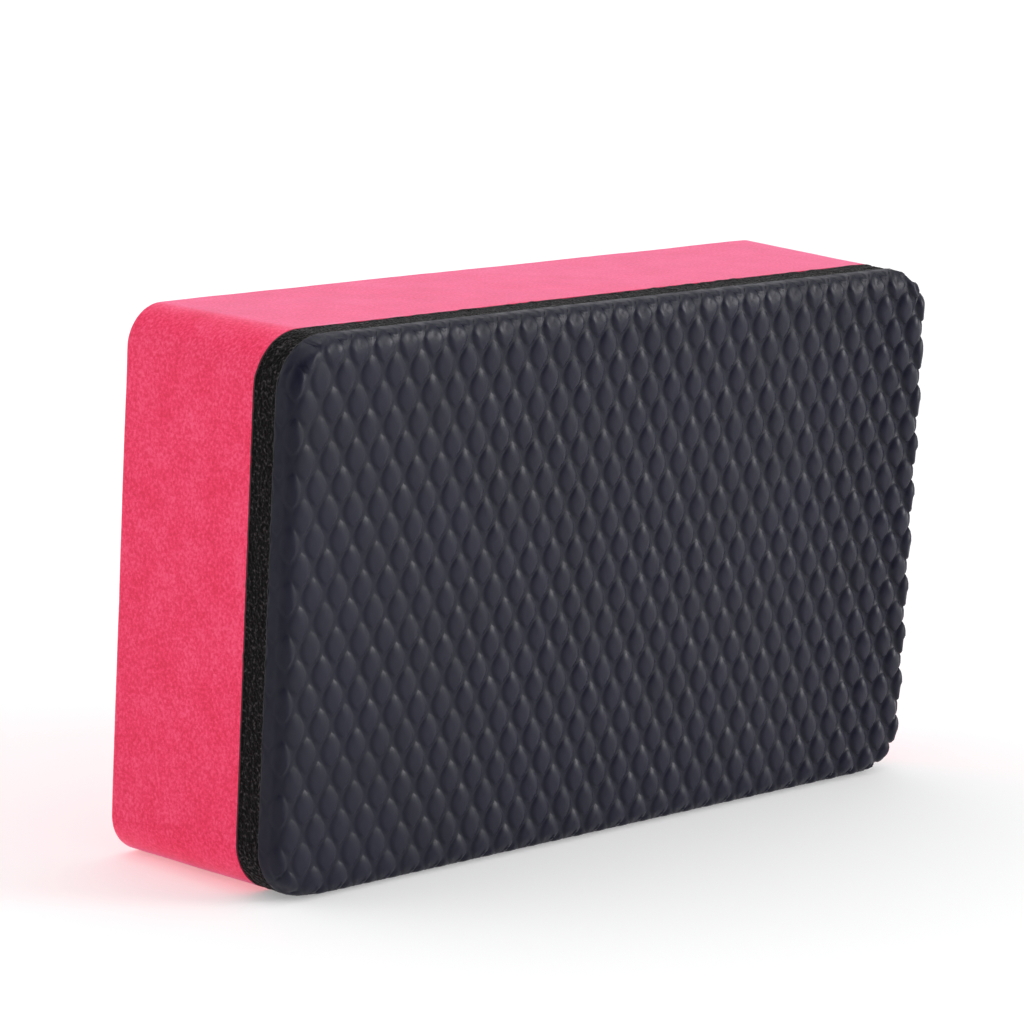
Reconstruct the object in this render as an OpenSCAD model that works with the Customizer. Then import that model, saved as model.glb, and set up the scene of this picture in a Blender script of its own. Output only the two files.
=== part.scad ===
// Hand block for rubbing and sanding. Three layers are glued face to face: a thick foam block to hold,
// a sponge pad, and a rubber skin whose face is cut into rows of pebbles.
// The block stands on one long narrow side. X runs along its length, Z is up, and the pebbles face -Y.
// The origin is the middle of the side that it stands on.

/* [Outline] */
// Length of the block
block_l = 101; // [80:1:140]
// Height of the block as it stands
block_h = 60; // [45:1:80]
// Radius of the four corners of the sponge pad and the rubber skin
corner_r = 6; // [4:0.5:12]
// Radius of the four corners of the foam block
foam_corner_r = 4.5; // [3:0.5:12]

/* [Layers] */
// Thickness of the foam block
foam_t = 20; // [12:0.5:35]
// Rounding of the foam block's back edge
foam_edge_r = 0.3; // [0.3:0.1:2]
// Thickness of the glue film between the foam block and the sponge pad
pad_glue_t = 0.2; // [0.1:0.05:0.4]
// Thickness of the sponge pad
pad_t = 3.2; // [2:0.1:6]
// Thickness of the glue film between the sponge pad and the rubber skin
skin_glue_t = 0.1; // [0.05:0.05:0.3]
// Thickness of the rubber skin, to the tops of its pebbles
skin_t = 2.5; // [2:0.1:4]
// Rounding of the rubber skin's front edge
skin_edge_r = 1.6; // [0.8:0.1:1.8]
// How far the glue films stay back from the outline
glue_inset = 0.4; // [0.2:0.1:1]

/* [Pebbles] */
// Distance from one pebble to the next along a row
pebble_pitch = 3.56; // [3:0.02:5]
// Distance from one row of pebbles to the next
row_pitch = 2.84; // [2.4:0.02:4]
// Width of the groove between two pebbles
groove_w = 0.9; // [0.4:0.05:1.2]
// Depth of the groove
groove_d = 0.5; // [0.3:0.05:0.8]
// Plain rim that the pebbles leave round the edge of the skin
plain_rim = 1.9; // [1.9:0.1:3.5]

/* [Hidden] */
round_fn = 96;

// Depth of each layer's back face, counted from the middle of the whole block
total_t = foam_t + pad_glue_t + pad_t + skin_glue_t + skin_t;
skin_back = -total_t / 2 + skin_t;
skin_glue_back = skin_back + skin_glue_t;
pad_back = skin_glue_back + pad_t;
pad_glue_back = pad_back + pad_glue_t;
foam_back = pad_glue_back + foam_t;

// The grooves are two crossing families, which lean by the same angle to either side
groove_lean = atan(row_pitch / (pebble_pitch / 2));
groove_pitch = pebble_pitch * sin(groove_lean);
groove_reach = norm([block_l, block_h]);
groove_count = ceil(groove_reach / 2 / groove_pitch);

// Stands a plate that lies on XY upright, with its underside at the given depth and its top facing -Y
module stand_facing_front(depth) {
    translate([0, depth, block_h / 2])
        rotate([90, 0, 0])
            children();
}

// The same, with its top facing +Y
module stand_facing_back(depth) {
    translate([0, depth, block_h / 2])
        rotate([-90, 0, 0])
            children();
}

module rounded_outline(l, w, r) {
    square([l - 2 * r, w], center = true);
    square([l, w - 2 * r], center = true);
    for (x = [-1, 1], y = [-1, 1])
        translate([x * (l / 2 - r), y * (w / 2 - r)])
            circle(r = r, $fn = round_fn);
}

module plain_plate(inset, t) {
    linear_extrude(t)
        rounded_outline(block_l - 2 * inset, block_h - 2 * inset, corner_r - inset);
}

// Section across a plate whose two top edges are rounded
module soft_section(w, t, edge_r) {
    translate([-w / 2, 0])
        square([w, t - edge_r]);
    translate([edge_r - w / 2, 0])
        square([w - 2 * edge_r, t]);
    intersection() {
        translate([-w / 2, 0])
            square([w, t]);
        for (side = [-1, 1])
            translate([side * (w / 2 - edge_r), t - edge_r])
                circle(r = edge_r, $fn = round_fn);
    }
}

module soft_bar(length, w, t, edge_r) {
    rotate([90, 0, 90])
        linear_extrude(length, center = true)
            soft_section(w, t, edge_r);
}

module soft_corner(t, r, edge_r) {
    rotate_extrude($fn = round_fn)
        intersection() {
            soft_section(2 * r, t, edge_r);
            square([r, t]);
        }
}

// Plate with corners of radius r, whose top edge is rounded all the way round
module soft_plate(t, r, edge_r) {
    straight_l = block_l - 2 * r;
    straight_h = block_h - 2 * r;
    soft_bar(straight_l, block_h, t, edge_r);
    rotate(90)
        soft_bar(straight_h, block_l, t, edge_r);
    for (x = [-1, 1], y = [-1, 1])
        translate([x * straight_l / 2, y * straight_h / 2])
            soft_corner(t, r, edge_r);
}

// One V groove along X, cut down from the plane z = 0
module groove() {
    rotate([90, 0, 90])
        linear_extrude(groove_reach, center = true)
            polygon([[0, -groove_d], [groove_w, groove_d], [-groove_w, groove_d]]);
}

module groove_family(lean) {
    rotate(lean)
        for (i = [-groove_count:groove_count])
            translate([0, i * groove_pitch, 0])
                groove();
}

// The area of the skin that has pebbles: the flat of its face, inside the rounded edge
module pebbled_area() {
    linear_extrude(2 * skin_t, center = true)
        rounded_outline(block_l - 2 * plain_rim, block_h - 2 * plain_rim, corner_r - plain_rim);
}

module foam_block() {
    color("#e94466")
        stand_facing_back(pad_glue_back)
            soft_plate(foam_t, foam_corner_r, foam_edge_r);
}

module block_glue() {
    color("#7a2038")
        stand_facing_front(pad_glue_back)
            plain_plate(glue_inset, pad_glue_t);
}

module sponge_pad() {
    color("#1f1a1d")
        stand_facing_front(pad_back)
            plain_plate(0, pad_t);
}

module skin_glue() {
    color("#2b2a2e")
        stand_facing_front(skin_glue_back)
            plain_plate(glue_inset, skin_glue_t);
}

module rubber_skin() {
    color("#363640")
        stand_facing_front(skin_back)
            difference() {
                soft_plate(skin_t, corner_r, skin_edge_r);
                translate([0, 0, skin_t])
                    intersection() {
                        union() {
                            groove_family(groove_lean);
                            groove_family(-groove_lean);
                        }
                        pebbled_area();
                    }
            }
}

foam_block();
block_glue();
sponge_pad();
skin_glue();
rubber_skin();
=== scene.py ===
import bpy
import math
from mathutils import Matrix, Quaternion, Vector, noise


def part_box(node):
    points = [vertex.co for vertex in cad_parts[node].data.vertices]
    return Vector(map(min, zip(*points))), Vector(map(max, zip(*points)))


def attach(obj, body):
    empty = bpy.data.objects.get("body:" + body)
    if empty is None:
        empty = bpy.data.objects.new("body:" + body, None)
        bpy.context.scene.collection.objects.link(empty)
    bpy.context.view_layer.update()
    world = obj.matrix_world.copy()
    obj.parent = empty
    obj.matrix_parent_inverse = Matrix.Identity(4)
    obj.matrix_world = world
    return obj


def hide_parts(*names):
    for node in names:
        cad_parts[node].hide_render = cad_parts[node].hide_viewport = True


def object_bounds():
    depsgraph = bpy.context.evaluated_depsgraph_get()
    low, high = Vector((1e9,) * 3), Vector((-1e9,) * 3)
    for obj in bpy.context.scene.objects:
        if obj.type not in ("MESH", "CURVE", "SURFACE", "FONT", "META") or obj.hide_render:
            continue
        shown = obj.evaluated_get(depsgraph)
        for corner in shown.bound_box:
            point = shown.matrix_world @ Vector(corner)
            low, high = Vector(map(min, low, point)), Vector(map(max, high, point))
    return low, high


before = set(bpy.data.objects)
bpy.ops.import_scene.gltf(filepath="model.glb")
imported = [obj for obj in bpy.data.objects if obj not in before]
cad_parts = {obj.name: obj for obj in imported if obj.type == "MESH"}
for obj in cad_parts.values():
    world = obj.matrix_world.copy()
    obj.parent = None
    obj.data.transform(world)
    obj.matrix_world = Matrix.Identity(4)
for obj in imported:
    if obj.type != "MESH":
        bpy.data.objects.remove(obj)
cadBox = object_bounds()
mm = 0.001
cornerRadius = 6 * mm                            # outline corners of the sponge and the skin
weldDistance = 0.001 * mm                        # points nearer than this count as one
smoothAngle = math.radians(60)                   # edges that turn more than this stay sharp
facingIt = 0.99                                  # share of a normal that lies along its direction
middle = (cadBox[0] + cadBox[1]) / 2
print("frame loaded")

# camera

cameraSettings = {
    "lens": 170.7,
    "azimuth": -45.8,                            # from the left of the working face
    "elevation": 11.6,
    "roll": 2.8,
    "distance": 0.544,
    "aimShift": Vector((-1.5, 2.7, 4.0)) * mm,   # from the middle of the block
}


def addCamera(s):
    azimuth, elevation = math.radians(s["azimuth"]), math.radians(s["elevation"])
    back = Vector((
        math.sin(azimuth) * math.cos(elevation),
        -math.cos(azimuth) * math.cos(elevation),
        math.sin(elevation),
    ))
    place = middle + s["aimShift"] + back * s["distance"]
    bpy.ops.object.camera_add(location=place)
    camera = bpy.context.active_object
    camera.name = "viewCamera"
    camera.data.lens = s["lens"]
    camera.rotation_mode = "QUATERNION"
    upright = (-back).to_track_quat("-Z", "Y")
    camera.rotation_quaternion = upright @ Quaternion((0, 0, 1), math.radians(s["roll"]))
    bpy.context.scene.camera = camera


addCamera(cameraSettings)
print("camera placed")

# helpers for modelling


def nothingSelected():
    if bpy.context.object and bpy.context.object.mode != "OBJECT":
        bpy.ops.object.mode_set(mode="OBJECT")
    bpy.ops.object.select_all(action="DESELECT")


def named(name):
    piece = bpy.context.active_object
    piece.name = name
    piece.data.name = name
    return piece


# selects what passes the test, and stays in edit mode
def pick(piece, kind, test):
    bpy.ops.object.mode_set(mode="OBJECT")
    mesh = piece.data
    for group in (mesh.vertices, mesh.edges, mesh.polygons):
        group.foreach_set("select", [False] * len(group))
    bpy.context.tool_settings.mesh_select_mode = (
        kind == "vertices", kind == "edges", kind == "polygons")
    for item in getattr(mesh, kind):
        item.select = test(item)
    bpy.ops.object.mode_set(mode="EDIT")


def edgeVector(mesh, edge):
    a, b = (mesh.vertices[i].co for i in edge.vertices)
    return b - a


def applyModifiers(piece):
    bpy.ops.object.mode_set(mode="OBJECT")
    bpy.context.view_layer.objects.active = piece
    for name in [m.name for m in piece.modifiers]:
        bpy.ops.object.modifier_apply(modifier=name)


def smoothStep(low, high, x):
    t = min(max((x - low) / (high - low), 0), 1)
    return t * t * (3 - 2 * t)


def noiseTexture(name, size, detail=2):
    texture = bpy.data.textures.new(name, "CLOUDS")
    texture.noise_scale = size
    texture.noise_depth = detail
    return texture


# moves a group of points in and out by a texture; at restLevel 1 they are pressed in only
def roughen(piece, group, texture, depth, restLevel=0.5):
    push = piece.modifiers.new(texture.name, "DISPLACE")
    push.texture = texture
    push.texture_coords = "LOCAL"
    push.mid_level = restLevel
    push.strength = depth
    push.vertex_group = group.name


# a rounded rectangle as a loop of short edges at low.y, selected in edit mode
def roundedRing(name, low, high, radius, cornerSteps, meshSize):
    size, centre = high - low, (low + high) / 2
    nothingSelected()
    bpy.ops.mesh.primitive_plane_add(size=1, location=(centre.x, low.y, centre.z),
                                     rotation=(math.radians(90), 0, 0))
    piece = named(name)
    piece.scale = (size.x, size.z, 1)
    bpy.ops.object.transform_apply(location=True, rotation=True, scale=True)
    mesh = piece.data
    pick(piece, "vertices", lambda v: True)
    bpy.ops.mesh.bevel(offset=radius, segments=cornerSteps, affect="VERTICES")
    pick(piece, "polygons", lambda f: True)
    bpy.ops.mesh.delete(type="ONLY_FACE")
    for side in (size.x, size.z):                # as many cuts for every radius, to bridge rings
        pick(piece, "edges", lambda e: abs(edgeVector(mesh, e).length - side + 2 * radius) < meshSize)
        bpy.ops.mesh.subdivide(number_cuts=round((side - 2 * cornerRadius) / meshSize) - 1)
    pick(piece, "edges", lambda e: True)
    return piece


# draws the ring out to high.y in even rows
def drawOut(low, high, meshSize):
    rows = round((high.y - low.y) / meshSize)
    step = (0, (high.y - low.y) / rows, 0)
    for _ in range(rows):
        bpy.ops.mesh.extrude_region_move(TRANSFORM_OT_translate={"value": step})


# fills the two open ends of a ring that has been drawn out along Y
def closeBothFaces(piece, low, high, meshSize):
    mesh = piece.data
    nearby = min(meshSize, high.y - low.y) / 4
    for y in (low.y, high.y):
        pick(piece, "edges", lambda e: all(abs(mesh.vertices[i].co.y - y) < nearby for i in e.vertices))
        bpy.ops.mesh.edge_face_add()
    bpy.ops.mesh.select_all(action="SELECT")
    bpy.ops.mesh.normals_make_consistent(inside=False)
    bpy.ops.object.mode_set(mode="OBJECT")


# pink foam block

foamSettings = {
    "backRadius": 4.5 * mm,                      # of the corners; at the front they match the sponge
    "cornerSteps": 24,
    "edgeSoftness": 0.3 * mm,                    # of the back edge
    "edgeSteps": 3,
    "meshSize": 0.5 * mm,
    "unevenness": [                              # name, size and depth
        ("foamWave", 14 * mm, 0.16 * mm),
        ("foamGrain", 0.9 * mm, 0.03 * mm),
    ],
    "fill": 1.0,
}


def buildFoamBlock(s):
    low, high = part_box("foam_block")
    steps, meshSize = s["cornerSteps"], s["meshSize"]
    backCorner = Vector((low.x, high.y, low.z))
    piece = roundedRing("foamBlock", low, high, cornerRadius, steps, meshSize)
    roundedRing("foamBack", backCorner, high, s["backRadius"], steps, meshSize)
    bpy.ops.object.mode_set(mode="OBJECT")
    piece.select_set(True)
    bpy.context.view_layer.objects.active = piece
    bpy.ops.object.join()
    mesh = piece.data
    pick(piece, "edges", lambda e: True)
    rows = round((high.y - low.y) / meshSize)
    bpy.ops.mesh.bridge_edge_loops(number_cuts=rows - 1, interpolation="LINEAR")
    closeBothFaces(piece, low, high, meshSize)
    atBack = high.y - weldDistance
    pick(piece, "edges", lambda e: all(mesh.vertices[i].co.y > atBack for i in e.vertices))
    bpy.ops.mesh.bevel(offset=s["edgeSoftness"], segments=s["edgeSteps"], affect="EDGES")
    pick(piece, "polygons", lambda f: f.center.y > atBack and f.normal.y > facingIt)
    bpy.ops.mesh.inset(thickness=s["edgeSoftness"], depth=0)
    bpy.ops.object.mode_set(mode="OBJECT")
    walls = piece.vertex_groups.new(name="walls")
    walls.add([v.index for v in mesh.vertices if v.co.y > low.y + meshSize / 2], 1, "REPLACE")
    for name, size, depth in s["unevenness"]:
        roughen(piece, walls, noiseTexture(name, size), depth)
    applyModifiers(piece)
    bpy.ops.object.shade_smooth_by_angle(angle=smoothAngle)
    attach(piece, "root")
    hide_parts("foam_block")
    return piece


foamBlock = buildFoamBlock(foamSettings)
print("foam block built:", len(foamBlock.data.polygons), "faces")

# black sponge pad

spongeSettings = {
    "cornerSteps": 40,
    "meshSize": 0.25 * mm,
    "poreSize": 0.45 * mm,
    "poreDetail": 3,
    "poreDepth": 0.4 * mm,
    "poreRest": 0.75,                            # 1 presses the surface in only
    "rimInset": 0.05 * mm,                       # of its front and back edges
    "fill": 1.0,
}


def buildSpongePad(s):
    low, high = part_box("sponge_pad")
    size = high - low
    piece = roundedRing("spongePad", low, high, cornerRadius, s["cornerSteps"], s["meshSize"])
    mesh = piece.data
    drawOut(low, high, s["meshSize"])
    closeBothFaces(piece, low, high, s["meshSize"])
    pick(piece, "vertices", lambda v: min(v.co.y - low.y, high.y - v.co.y) < s["meshSize"] / 4)
    bpy.ops.transform.resize(value=(1 - s["rimInset"] * 2 / size.x, 1, 1 - s["rimInset"] * 2 / size.z),
                             center_override=(low + high) / 2)
    bpy.ops.object.mode_set(mode="OBJECT")
    walls = piece.vertex_groups.new(name="walls")
    walls.add([v.index for v in mesh.vertices if low.y < v.co.y < high.y], 1, "REPLACE")
    pores = noiseTexture("spongePores", s["poreSize"], s["poreDetail"])
    roughen(piece, walls, pores, s["poreDepth"], s["poreRest"])
    applyModifiers(piece)
    bpy.ops.object.shade_smooth_by_angle(angle=smoothAngle)
    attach(piece, "root")
    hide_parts("sponge_pad")
    return piece


spongePad = buildSpongePad(spongeSettings)
print("sponge pad built:", len(spongePad.data.polygons), "faces")

# films of glue, which reach the edge unevenly

filmSettings = {
    "cornerSteps": 24,
    "meshSize": 0.5 * mm,
    "edgeInset": -0.10 * mm,                     # where it is squeezed out the furthest
    "edgeSize": 1.1 * mm,
    "edgeDepth": 0.25 * mm,
}


def buildGlueFilm(name, node, s):
    low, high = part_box(node)
    low = Vector((cadBox[0].x, low.y, cadBox[0].z))
    high = Vector((cadBox[1].x, high.y, cadBox[1].z))
    piece = roundedRing(name, low, high, cornerRadius, s["cornerSteps"], s["meshSize"])
    drawOut(low, high, high.y - low.y)           # in one row
    closeBothFaces(piece, low, high, s["meshSize"])
    coreX, coreZ = (high.x - low.x) / 2 - cornerRadius, (high.z - low.z) / 2 - cornerRadius
    centre = (low + high) / 2
    for vertex in piece.data.vertices:
        near = Vector((
            min(max(vertex.co.x, centre.x - coreX), centre.x + coreX),
            vertex.co.y,
            min(max(vertex.co.z, centre.z - coreZ), centre.z + coreZ),
        ))
        inwards = (near - vertex.co).normalized()
        wave = noise.noise(Vector((vertex.co.x, 0, vertex.co.z)) / s["edgeSize"])
        bite = wave * 0.5 + 0.5                  # from 0 to 1
        vertex.co += inwards * (s["edgeInset"] + bite * s["edgeDepth"])
    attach(piece, "root")
    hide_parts(node)
    return piece


blockGlue = buildGlueFilm("blockGlue", "block_glue", filmSettings)
skinGlue = buildGlueFilm("skinGlue", "skin_glue", filmSettings)
print("glue films built")

# rubber skin with pebbles

skinSettings = {
    "pebblePitch": 3.56 * mm,                    # along a row
    "rowPitch": 2.84 * mm,
    "sideCuts": 2,                               # in each side of a tile
    "tileRim": 0.05 * mm,                        # stays flat round the foot of a pebble
    "pebbleHalf": (1.47 * mm, 2.15 * mm),        # half the width and height of a pebble's foot
    "rings": [                                   # inset, rise and drop of each step above the foot
        (0.15 * mm, 0.11 * mm, 0.0),
        (0.20 * mm, 0.14 * mm, 0.15 * mm),       # the drops slope the upper end
        (0.24 * mm, 0.11 * mm, 0.24 * mm),
        (0.28 * mm, 0.06 * mm, 0.20 * mm),
    ],
    "lean": 0.55,                                # how much the height falls off to the lower end
    "unevenness": 0.12,                          # from pebble to pebble, of the height
    "edgeRadius": 1.6 * mm,
    "relief": 0.38 * mm,                         # from the foot of the pebbles to the CAD's face
    "cornerCuts": 10,
    "endLevel": 0.15,                            # of the relief: how high the ground is at the left end
    "plainEnd": (0.0 * mm, 6 * mm),              # from that end: it slopes down over this
    "sideLevel": 0.9,                            # the same for top, bottom and rim's back
    "plainSide": (0.5 * mm, 1.9 * mm),           # past the start of the curve: it rises over this
    "sideStart": (1.5 * mm, 10 * mm),            # from the left end: the sides rise along this
    "firstPebbles": (-0.8 * mm, 1.8 * mm),       # from the left end: pebbles fade in over this
    "cornerFade": (4 * mm, 7 * mm),              # and over this from its two corners
    "shallowEnd": (4 * mm, 50 * mm),             # from the left end: they grow over this
    "shallowest": 0.6,                           # of that height, before it
    "lastRow": (-1.2 * mm, 0.5 * mm),            # past the top and bottom edges: they fade out
    "deepEnd": (0.0 * mm, 25 * mm),              # from the right end: they stand up more
    "deepest": 0.65,                             # of their height, added there
    "rimBand": 0.5 * mm,                         # the plain strip at the back of the rim
    "rimSnap": 0.05 * mm,                        # points nearer its end are set on the back
    "shadeHeights": (0.1, 0.7),                  # of the tallest pebble: painted shade, dark in the grooves and low ground, gives way to the paler tops over this
}


# one rhombic tile with its pebble, lying flat with its top up
def buildPebble(s):
    nothingSelected()
    onCorner = (0, 0, math.radians(45))          # a square on its corner, to stretch to the rhombus
    bpy.ops.mesh.primitive_plane_add(size=math.sqrt(2), rotation=onCorner)
    bpy.ops.object.transform_apply(location=True, rotation=True, scale=True)
    piece = named("rubberSkin")
    bpy.ops.object.mode_set(mode="EDIT")
    bpy.ops.mesh.select_all(action="SELECT")
    bpy.ops.transform.resize(value=(s["pebblePitch"] / 2, s["rowPitch"], 1))
    bpy.ops.mesh.subdivide(number_cuts=s["sideCuts"])
    bpy.ops.mesh.dissolve_faces()                # leaves the cuts in the sides only
    bpy.ops.mesh.inset(thickness=s["tileRim"], depth=0)
    bpy.ops.object.mode_set(mode="OBJECT")
    foot = [v for v in piece.data.vertices if v.select]
    wide, tall = (max(v.co[axis] for v in foot) for axis in (0, 1))
    for vertex in foot:                          # bulges the rhombus out to a leaf
        vertex.co.x *= s["pebbleHalf"][0] / wide * (1 + abs(vertex.co.y) / tall)
        vertex.co.y *= s["pebbleHalf"][1] / tall
    bpy.ops.object.mode_set(mode="EDIT")
    for inset, rise, drop in s["rings"]:
        bpy.ops.mesh.inset(thickness=inset, depth=0)
        bpy.ops.transform.translate(value=(0, -drop, rise))
    bpy.ops.object.mode_set(mode="OBJECT")
    for vertex in piece.data.vertices:
        vertex.co.z *= 1 + s["lean"] * vertex.co.y / s["rowPitch"]
    return piece


# fills a rectangle with tiles: along a row, then a pair of rows, then pairs of rows
def repeatPebble(piece, s, reachX, reachY):
    halfPitch, row = s["pebblePitch"] / 2, s["rowPitch"]
    columns = math.ceil(reachX / s["pebblePitch"]) + 1
    pairs = math.ceil(reachY / row / 2) + 1
    start = Vector((-(2 * columns - 1) * halfPitch, -2 * pairs * row, 0))
    for vertex in piece.data.vertices:
        vertex.co += start
    for offset, count in (
        ((2 * halfPitch, 0, 0), 2 * columns),
        ((halfPitch, row, 0), 2),
        ((0, 2 * row, 0), 2 * pairs + 1),
    ):
        copies = piece.modifiers.new("copies", "ARRAY")
        copies.use_relative_offset = False
        copies.use_constant_offset = True
        copies.constant_offset_displace = offset
        copies.count = count
    applyModifiers(piece)
    bpy.ops.object.mode_set(mode="EDIT")
    bpy.ops.mesh.select_all(action="SELECT")
    bpy.ops.mesh.remove_doubles(threshold=weldDistance)


# cuts the sheet back to a rounded rectangle, plane by plane
def trimToOutline(s, reachX, reachY, radius):
    steps = 4 * (s["cornerCuts"] + 1)
    for i in range(steps):
        turn = math.tau * i / steps
        normal = Vector((math.cos(turn), math.sin(turn), 0))
        corner = Vector((
            math.copysign(reachX - radius, normal.x),
            math.copysign(reachY - radius, normal.y),
            0,
        ))
        bpy.ops.mesh.select_all(action="SELECT")
        bpy.ops.mesh.bisect(
            plane_co=corner + normal * radius, plane_no=normal, clear_outer=True, threshold=weldDistance)


# the centre of the pebble whose tile holds a point of the flat sheet
def pebbleCentre(x, y, s):
    rising = math.floor(x / s["pebblePitch"] + y / s["rowPitch"] / 2 + 0.5)
    falling = math.floor(x / s["pebblePitch"] - y / s["rowPitch"] / 2 + 0.5)
    return Vector(((rising + falling) * s["pebblePitch"] / 2, (rising - falling) * s["rowPitch"], 0))


# how much of its height a pebble has, from its place in the sheet
def pebbleStrength(centre, s, size):
    fromEnd = centre.x + size.x / 2
    fromSide = size.z / 2 - abs(centre.y)
    strength = smoothStep(*s["firstPebbles"], fromEnd) * smoothStep(*s["cornerFade"], fromEnd + fromSide)
    strength *= s["shallowest"] + (1 - s["shallowest"]) * smoothStep(*s["shallowEnd"], fromEnd)
    strength *= 1 - smoothStep(*s["lastRow"], -fromSide)
    perPebble = noise.cell(centre / s["pebblePitch"] * 2)
    return strength * (1 - s["unevenness"] * perPebble)


# how much of the relief is cut away between the pebbles, at a point of the flat sheet
def cutShare(x, y, s, size, rim):
    fromEnd = x + size.x / 2
    pastCurve = abs(y) - size.z / 2 + s["edgeRadius"]
    side = smoothStep(*s["plainSide"], pastCurve) * smoothStep(*s["sideStart"], fromEnd)
    cut = 1 - s["endLevel"] * (1 - smoothStep(*s["plainEnd"], fromEnd))
    cut *= 1 - s["sideLevel"] * side
    cut *= 1 - s["sideLevel"] * (1 - rim)
    return cut


# bends the flat sheet round the front edge of the skin, and stands it up to face -Y
def wrapOverEdge(piece, s, low, high):
    edge, relief, rimBand = s["edgeRadius"], s["relief"], s["rimBand"]
    size, centre = high - low, (low + high) / 2
    coreX, coreY = size.x / 2 - cornerRadius, size.z / 2 - cornerRadius
    quarter = edge * math.pi / 2
    lastOffset = quarter + size.y - edge
    tallest = max(v.co.z for v in piece.data.vertices)
    heightShade = []
    for vertex in piece.data.vertices:
        x, y, height = vertex.co
        near = Vector((min(max(x, -coreX), coreX), min(max(y, -coreY), coreY), 0))
        out = Vector((x, y, 0)) - near
        reach = out.length
        out.normalize()
        offset = reach - (cornerRadius - edge)
        turn = min(max(offset / edge, 0), math.pi / 2)
        radial = min(reach, cornerRadius - edge) + edge * math.sin(turn)
        depth = edge * (1 - math.cos(turn)) + max(offset - quarter, 0)
        normal = Vector((out.x * math.sin(turn), -math.cos(turn), out.y * math.sin(turn)))
        rim = 1 - smoothStep(lastOffset - 2 * rimBand, lastOffset - rimBand / 2, offset)
        cut = cutShare(x, y, s, size, rim)
        shown = rim * pebbleStrength(pebbleCentre(x, y, s), s, size)
        deeper = s["deepest"] * (1 - smoothStep(*s["deepEnd"], size.x / 2 - x))
        level = 1 - cut + cut * height / tallest * shown * (1 + deeper)
        # painted shade by height: grooves and low plain ground are coloured darker than the pebble tops
        heightShade.append(smoothStep(*s["shadeHeights"], cut * height / tallest * shown))
        place = near + out * radial
        vertex.co = Vector((centre.x + place.x, low.y + depth, centre.z + place.y))
        vertex.co += normal * relief * (level - 1)
        if offset > lastOffset - s["rimSnap"]:
            vertex.co.y = high.y
    piece.data.attributes.new("heightShade", "FLOAT", "POINT").data.foreach_set("value", heightShade)


def buildRubberSkin(s):
    low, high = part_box("rubber_skin")
    size = high - low
    spare = s["edgeRadius"] * (math.pi / 2 - 1) + size.y - s["edgeRadius"]   # goes round the edge
    reachX, reachY = size.x / 2 + spare, size.z / 2 + spare
    piece = buildPebble(s)
    repeatPebble(piece, s, reachX, reachY)
    trimToOutline(s, reachX, reachY, cornerRadius + spare)
    bpy.ops.object.mode_set(mode="OBJECT")
    wrapOverEdge(piece, s, low, high)
    bpy.ops.object.mode_set(mode="EDIT")
    bpy.context.tool_settings.mesh_select_mode = (False, True, False)
    bpy.ops.mesh.select_all(action="DESELECT")
    bpy.ops.mesh.select_non_manifold()
    bpy.ops.mesh.edge_face_add()
    bpy.ops.object.mode_set(mode="OBJECT")
    bpy.ops.object.shade_smooth_by_angle(angle=smoothAngle)
    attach(piece, "root")
    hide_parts("rubber_skin")
    return piece


rubberSkin = buildRubberSkin(skinSettings)
print("rubber skin built:", len(rubberSkin.data.polygons), "faces")

# materials


def newMaterial(name, roughness, specular):
    material = bpy.data.materials.new(name)
    material.use_nodes = True
    shader = material.node_tree.nodes["Principled BSDF"]
    shader.inputs["Roughness"].default_value = roughness
    shader.inputs["Specular IOR Level"].default_value = specular
    return material, shader


def addNode(material, kind, settings=None, **inputs):
    node = material.node_tree.nodes.new(kind)
    for key, value in (settings or {}).items():
        setattr(node, key, value)
    for key, value in inputs.items():
        target = node.inputs[key]
        if isinstance(value, bpy.types.NodeSocket):
            material.node_tree.links.new(value, target)
        else:
            target.default_value = value
    return node


def place(material):
    return addNode(material, "ShaderNodeTexCoord").outputs["Object"]


def noiseAt(material, at, scale, detail, **inputs):
    node = addNode(material, "ShaderNodeTexNoise", Vector=at, Scale=scale, Detail=detail, **inputs)
    return node.outputs["Fac"]


def ramp(material, factor, positions, colours):
    node = addNode(material, "ShaderNodeValToRGB", Fac=factor)
    points = node.color_ramp.elements
    while len(points) < len(colours):
        points.new(0.5)
    for point, position, colour in zip(points, positions, colours):
        point.position = position
        point.color = (*colour, 1)
    return node.outputs["Color"]


def bump(material, shader, height, strength, distance):
    node = addNode(material, "ShaderNodeBump", Strength=strength, Distance=distance, Height=height)
    material.node_tree.links.new(node.outputs["Normal"], shader.inputs["Normal"])


def addSheen(shader, s):
    shader.inputs["Sheen Weight"].default_value = s["sheen"]
    shader.inputs["Sheen Roughness"].default_value = s["sheenRoughness"]


pinkSettings = {
    "colours": [
        (0.76, 0.002, 0.056),
        (0.88, 0.018, 0.105),
        (0.96, 0.075, 0.19),
    ],
    "steps": (0.48, 0.67, 0.90),
    "cellScale": 3000,
    "cellDetail": 3.0,
    "cellRoughness": 0.6,
    "cloudScale": 260,
    "cloudDetail": 2.0,
    "cloudShare": 0.35,
    "bump": (0.18, 0.1 * mm),                    # strength and distance
    "roughness": 0.55,
    "specular": 0.4,
    "sheen": 0.47,
    "sheenRoughness": 0.3,
    "sheenTint": (0.62, 0.6, 1, 1),
}


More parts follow.
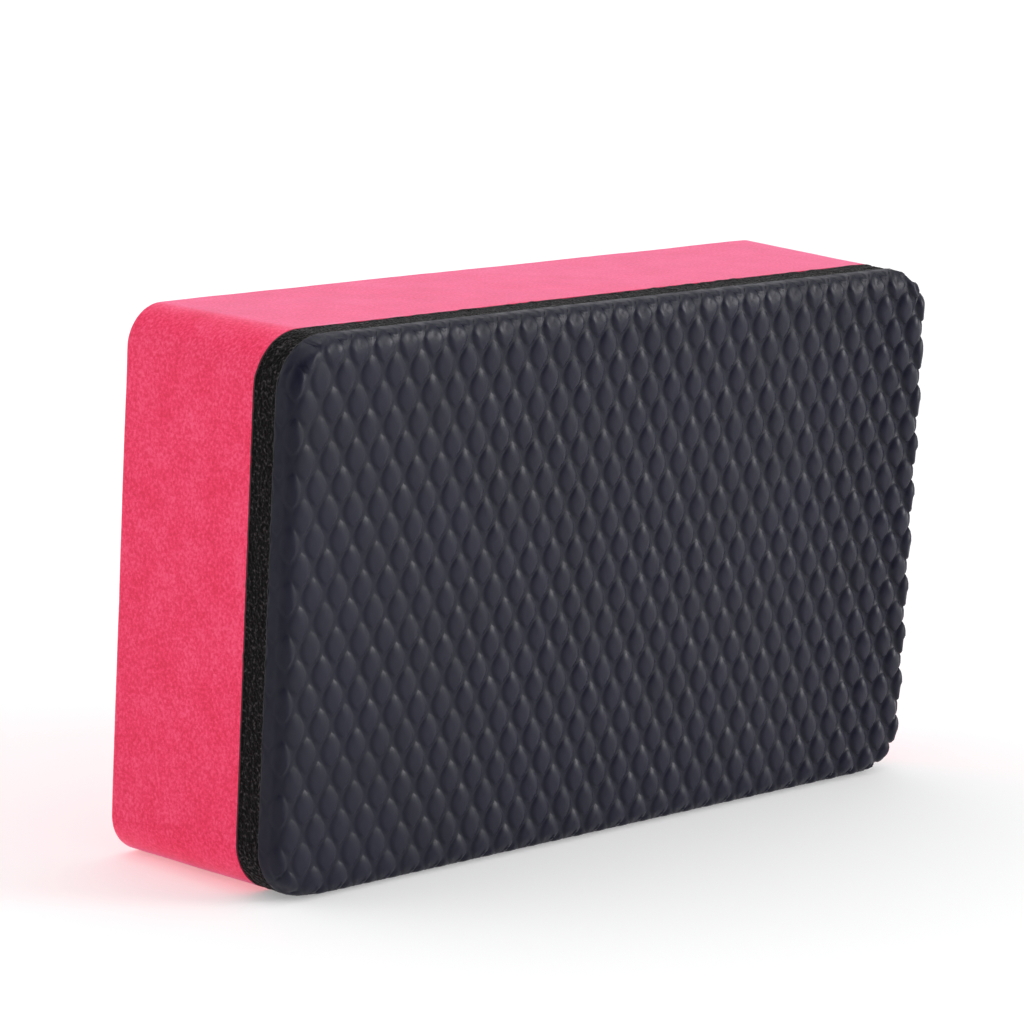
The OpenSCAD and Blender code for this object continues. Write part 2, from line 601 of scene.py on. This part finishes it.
def pinkFoam(s):
    material, shader = newMaterial("pinkFoam", s["roughness"], s["specular"])
    links = material.node_tree.links
    addSheen(shader, s)
    shader.inputs["Sheen Tint"].default_value = s["sheenTint"]
    at = place(material)
    cells = noiseAt(material, at, s["cellScale"], s["cellDetail"], Roughness=s["cellRoughness"])
    clouds = noiseAt(material, at, s["cloudScale"], s["cloudDetail"])
    mixed = addNode(material, "ShaderNodeMath", {"operation": "MULTIPLY_ADD"})
    clouded, share, celled = mixed.inputs
    links.new(clouds, clouded)
    share.default_value = s["cloudShare"]
    links.new(cells, celled)
    colour = ramp(material, mixed.outputs["Value"], s["steps"], s["colours"])
    links.new(colour, shader.inputs["Base Color"])
    bump(material, shader, cells, *s["bump"])
    return material


rubberSettings = {
    # painted shade: the groove colour darkens grooves and low plain ground, the top colour is paler on
    # the pebble tops
    "groove": (0.0045, 0.0045, 0.0165),
    "top": (0.0082, 0.0080, 0.0230),
    "cloudScale": 110,
    "cloudDetail": 3.0,
    "cloudShade": (0.7, 1.25),
    "smooth": 0.36,                              # roughness of the smudges
    "rough": 0.50,
    "smudgeScale": (700, 700, 260),              # longer up and down
    "smudgeDetail": 3.0,
    "smudgeEdge": (0.4, 0.62),
    "specular": 0.24,
    "grainScale": 5200,
    "grainDetail": 2.0,
    "bump": (0.12, 0.05 * mm),                   # strength and distance
}


def darkRubber(s):
    material, shader = newMaterial("darkRubber", s["rough"], s["specular"])
    links = material.node_tree.links
    at = place(material)
    # painted shade by height, from the dark groove colour up to the paler top colour
    heightShade = addNode(material, "ShaderNodeAttribute", {"attribute_name": "heightShade"})
    base = ramp(material, heightShade.outputs["Fac"], (0, 1), (s["groove"], s["top"]))
    clouds = noiseAt(material, at, s["cloudScale"], s["cloudDetail"])
    shade = addNode(material, "ShaderNodeMapRange", Value=clouds)
    shade.inputs["To Min"].default_value, shade.inputs["To Max"].default_value = s["cloudShade"]
    shaded = {"operation": "SCALE"}
    colour = addNode(material, "ShaderNodeVectorMath", shaded, Vector=base, Scale=shade.outputs["Result"])
    links.new(colour.outputs["Vector"], shader.inputs["Base Color"])
    stretched = addNode(material, "ShaderNodeMapping", Vector=at, Scale=s["smudgeScale"])
    smudges = noiseAt(material, stretched.outputs["Vector"], 1.0, s["smudgeDetail"])
    polish = addNode(material, "ShaderNodeMapRange", {"interpolation_type": "SMOOTHSTEP"}, Value=smudges)
    ends = (*s["smudgeEdge"], s["rough"], s["smooth"])
    for name, value in zip(("From Min", "From Max", "To Min", "To Max"), ends):
        polish.inputs[name].default_value = value
    links.new(polish.outputs["Result"], shader.inputs["Roughness"])
    bump(material, shader, noiseAt(material, at, s["grainScale"], s["grainDetail"]), *s["bump"])
    return material


spongeColours = {
    "colours": [
        (0.0014, 0.001, 0.0012),
        (0.004, 0.003, 0.0035),
        (0.055, 0.047, 0.05),                    # of the specks, painted glints of the pore walls
    ],
    "steps": (0.35, 0.55, 0.72),
    "grainDetail": 2.0,
    "poreScale": 2600,
    "bump": (0.8, 0.25 * mm),                    # strength and distance
    "roughness": 0.9,
    "specular": 0.15,
    "sheen": 0.07,
    "sheenRoughness": 0.3,
}


def blackSponge(s):
    material, shader = newMaterial("blackSponge", s["roughness"], s["specular"])
    addSheen(shader, s)
    at = place(material)
    pores = addNode(material, "ShaderNodeTexVoronoi", Vector=at, Scale=s["poreScale"])
    grainAndGlints = noiseAt(material, at, s["poreScale"], s["grainDetail"])
    # dark grain with pale specks that are painted glints of the pore walls
    colour = ramp(material, grainAndGlints, s["steps"], s["colours"])
    material.node_tree.links.new(colour, shader.inputs["Base Color"])
    bump(material, shader, pores.outputs["Distance"], *s["bump"])
    return material


glueColours = {
    "block": [(0.004, 0.001, 0.0015), (0.03, 0.002, 0.005)],
    "skin": [(0.006, 0.006, 0.007), (0.015, 0.014, 0.017)],
    "steps": (0.35, 0.65),
    "streakScale": 700,
    "streakDetail": 2.0,
    "bump": (0.4, 0.1 * mm),                     # strength and distance
    "roughness": 0.5,
    "specular": 0.35,
}


def glueFilm(name, colours, s):
    material, shader = newMaterial(name, s["roughness"], s["specular"])
    streaks = noiseAt(material, place(material), s["streakScale"], s["streakDetail"])
    colour = ramp(material, streaks, s["steps"], colours)
    material.node_tree.links.new(colour, shader.inputs["Base Color"])
    bump(material, shader, streaks, *s["bump"])
    return material


def paint(piece, material):
    piece.data.materials.clear()
    piece.data.materials.append(material)


paint(foamBlock, pinkFoam(pinkSettings))
paint(rubberSkin, darkRubber(rubberSettings))
paint(spongePad, blackSponge(spongeColours))
paint(blockGlue, glueFilm("blockGlue", glueColours["block"], glueColours))
paint(skinGlue, glueFilm("skinGlue", glueColours["skin"], glueColours))
print("materials assigned")

# floor and light

studio = {
    "floorSize": 8,
    "floorGap": 0.12 * mm,                       # below the CAD, clear of the uneven foam
    "floorColour": (0.97, 0.97, 0.97, 1),
    "floorRoughness": 0.8,
    "floorSpecular": 0.1,
    "tentLight": 0.80,                           # the white tent all round
    "gapLight": 0.25,                            # the dimmer gap that the camera looks through
    "gapInner": 35,                              # degrees from the line of sight
    "gapOuter": 75,
    "suns": [                                    # name, direction, strength, softness in degrees, shadow
        ("topSun", (0.2, -0.1, 1.0), 1.05, 50, False),
        ("endSun", (-1.0, 0.5, 0.4), 0.56, 60, True),
        ("rightSun", (0.7, -0.64, 0.26), 1.3, 24, True),
    ],
}


def addFloor(s):
    nothingSelected()
    ground = cadBox[0].z - s["floorGap"]
    bpy.ops.mesh.primitive_plane_add(size=s["floorSize"], location=(0, 0, ground))
    floor = named("floor")
    material, shader = newMaterial("paleFloor", s["floorRoughness"], s["floorSpecular"])
    shader.inputs["Base Color"].default_value = s["floorColour"]
    paint(floor, material)


def addSuns(s):
    for name, towards, strength, softness, shadow in s["suns"]:
        bpy.ops.object.light_add(type="SUN", location=middle + Vector(towards))
        sun = bpy.context.active_object
        sun.name = name
        sun.data.energy = strength
        sun.data.angle = math.radians(softness)
        sun.data.use_shadow = shadow
        sun.rotation_mode = "QUATERNION"
        sun.rotation_quaternion = (-Vector(towards)).to_track_quat("-Z", "Y")


def addTent(s):
    world = bpy.data.worlds.new("tent")
    world.use_nodes = True
    bpy.context.scene.world = world
    nodes, links = world.node_tree.nodes, world.node_tree.links
    towardsCamera = (bpy.context.scene.camera.location - middle).normalized()
    facing = nodes.new("ShaderNodeVectorMath")
    facing.operation = "DOT_PRODUCT"
    facing.inputs[1].default_value = towardsCamera
    links.new(nodes.new("ShaderNodeTexCoord").outputs["Generated"], facing.inputs[0])
    gap = nodes.new("ShaderNodeMapRange")
    gap.interpolation_type = "SMOOTHSTEP"
    gap.inputs["From Min"].default_value = math.cos(math.radians(s["gapOuter"]))
    gap.inputs["From Max"].default_value = math.cos(math.radians(s["gapInner"]))
    gap.inputs["To Min"].default_value = s["tentLight"]
    gap.inputs["To Max"].default_value = s["gapLight"]
    links.new(facing.outputs["Value"], gap.inputs["Value"])
    tent = nodes["Background"]
    tent.inputs["Color"].default_value = (1, 1, 1, 1)
    links.new(gap.outputs["Result"], tent.inputs["Strength"])
    seen = nodes.new("ShaderNodeBackground")
    seen.inputs["Color"].default_value = (1, 1, 1, 1)
    path = nodes.new("ShaderNodeLightPath")
    mix = nodes.new("ShaderNodeMixShader")
    links.new(path.outputs["Is Camera Ray"], mix.inputs["Fac"])
    links.new(tent.outputs["Background"], mix.inputs[1])
    links.new(seen.outputs["Background"], mix.inputs[2])
    links.new(mix.outputs["Shader"], nodes["World Output"].inputs["Surface"])


addFloor(studio)
addSuns(studio)
addTent(studio)
bpy.context.scene.view_settings.view_transform = "Standard"
print("studio set up")
